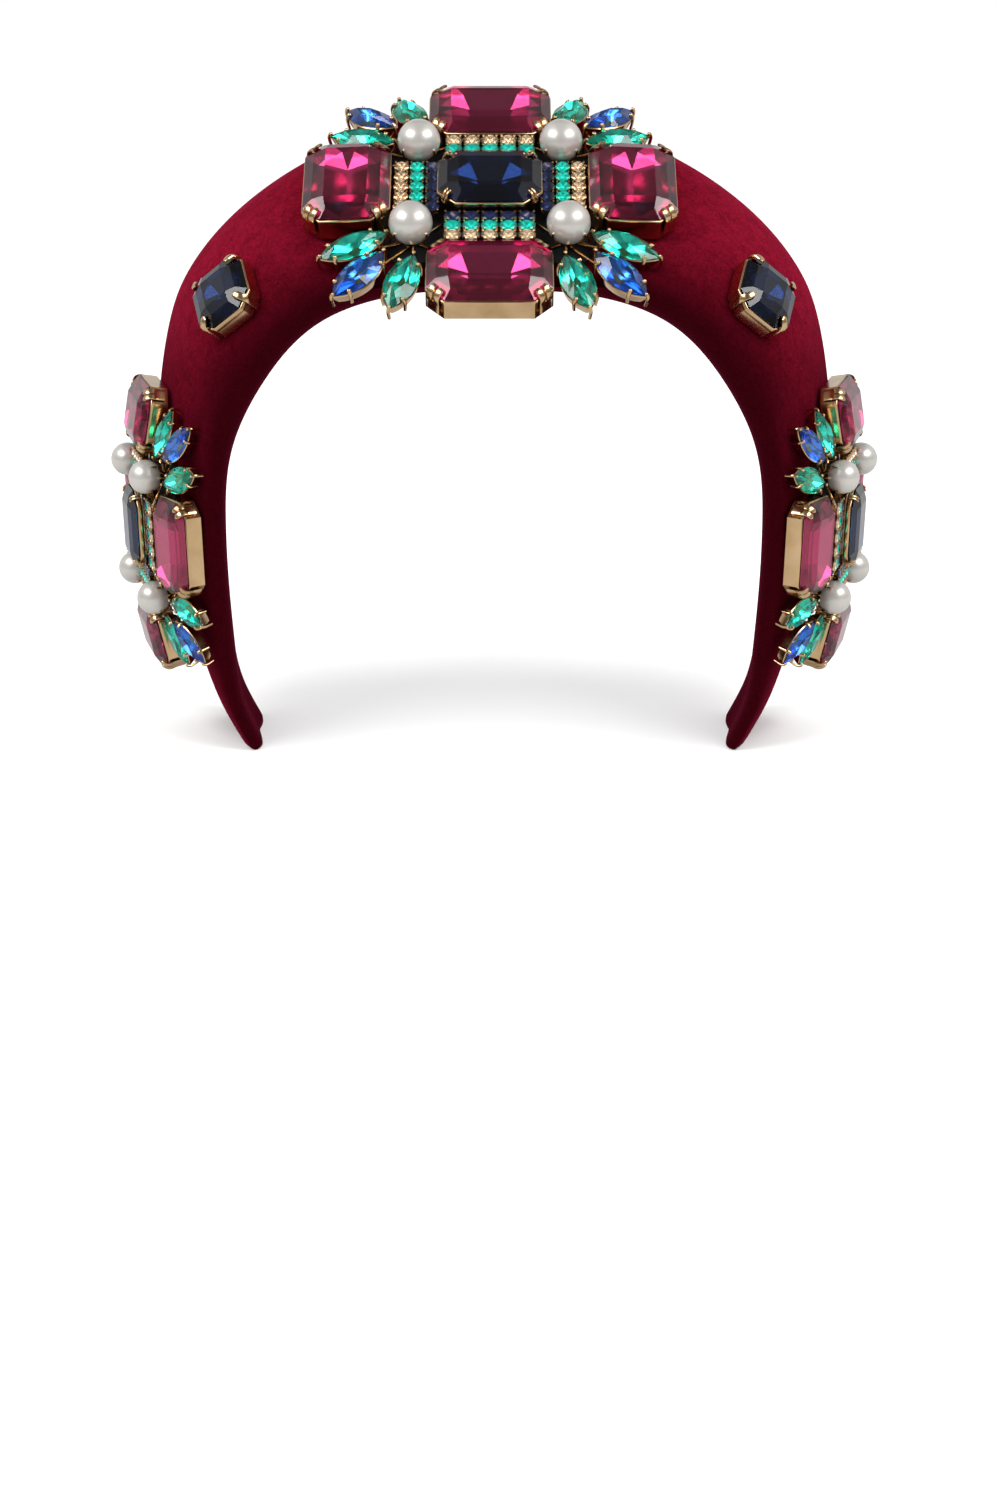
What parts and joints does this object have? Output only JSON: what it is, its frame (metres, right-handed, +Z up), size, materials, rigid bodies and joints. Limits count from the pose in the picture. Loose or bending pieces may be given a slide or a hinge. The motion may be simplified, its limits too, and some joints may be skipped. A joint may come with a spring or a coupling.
{
  "type": "jewelled velvet headband",
  "caption": "Wide padded headband in wine-red velvet with a large jewelled motif on top, smaller ones at the sides and two single stones.",
  "frame": {"origin": "middle of the bounding box at the level of the two tips' bottoms", "axes": "+Z up along the upright arch, front towards -Y; the motif on the left as seen from the front is towards -X"},
  "size_m": [0.1934, 0.0859, 0.1607],
  "materials": {
    "velvet": "wine-red velvet pile",
    "felt": "matt black",
    "gold": "polished pale gold plating",
    "crystal": "faceted champagne, green and navy",
    "ruby": "faceted raspberry red",
    "navy": "faceted dark blue",
    "emerald": "faceted green",
    "sapphire": "faceted royal blue",
    "pearl": "creamy pearl coating"
  },
  "bodies": {
    "root": {"centre_backing": "felt", "centre_marquise_back_left_a": "emerald", "centre_marquise_back_left_b": "sapphire", "centre_marquise_back_left_c": "emerald", "centre_marquise_back_right_a": "emerald", "centre_marquise_back_right_b": "sapphire", "centre_marquise_back_right_c": "emerald", "centre_marquise_front_left_a": "emerald", "centre_marquise_front_left_b": "sapphire", "centre_marquise_front_left_c": "emerald", "centre_marquise_front_right_a": "emerald", "centre_marquise_front_right_b": "sapphire", "centre_marquise_front_right_c": "emerald", "centre_pearl_back_left": "pearl", "centre_pearl_back_right": "pearl", "centre_pearl_front_left": "pearl", "centre_pearl_front_right": "pearl", "centre_rhinestones": "crystal", "centre_setting": "gold", "centre_stone_back": "ruby", "centre_stone_front": "ruby", "centre_stone_left": "ruby", "centre_stone_middle": "navy", "centre_stone_right": "ruby", "left_backing": "felt", "left_pearl_back_lower": "pearl", "left_pearl_back_upper": "pearl", "left_pearl_front_lower": "pearl", "left_pearl_front_upper": "pearl", "left_rhinestones": "crystal", "left_setting": "gold", "left_single_setting": "gold", "left_single_stone": "navy", "left_stone_back": "ruby", "left_stone_front": "ruby", "left_stone_lower": "ruby", "left_stone_middle": "navy", "left_stone_upper": "ruby", "right_backing": "felt", "right_pearl_back_lower": "pearl", "right_pearl_back_upper": "pearl", "right_pearl_front_lower": "pearl", "right_pearl_front_upper": "pearl", "right_rhinestones": "crystal", "right_setting": "gold", "right_single_setting": "gold", "right_single_stone": "navy", "right_stone_back": "ruby", "right_stone_front": "ruby", "right_stone_lower": "ruby", "right_stone_middle": "navy", "right_stone_upper": "ruby", "velvet_band": "velvet"}
  },
  "joints": []
}
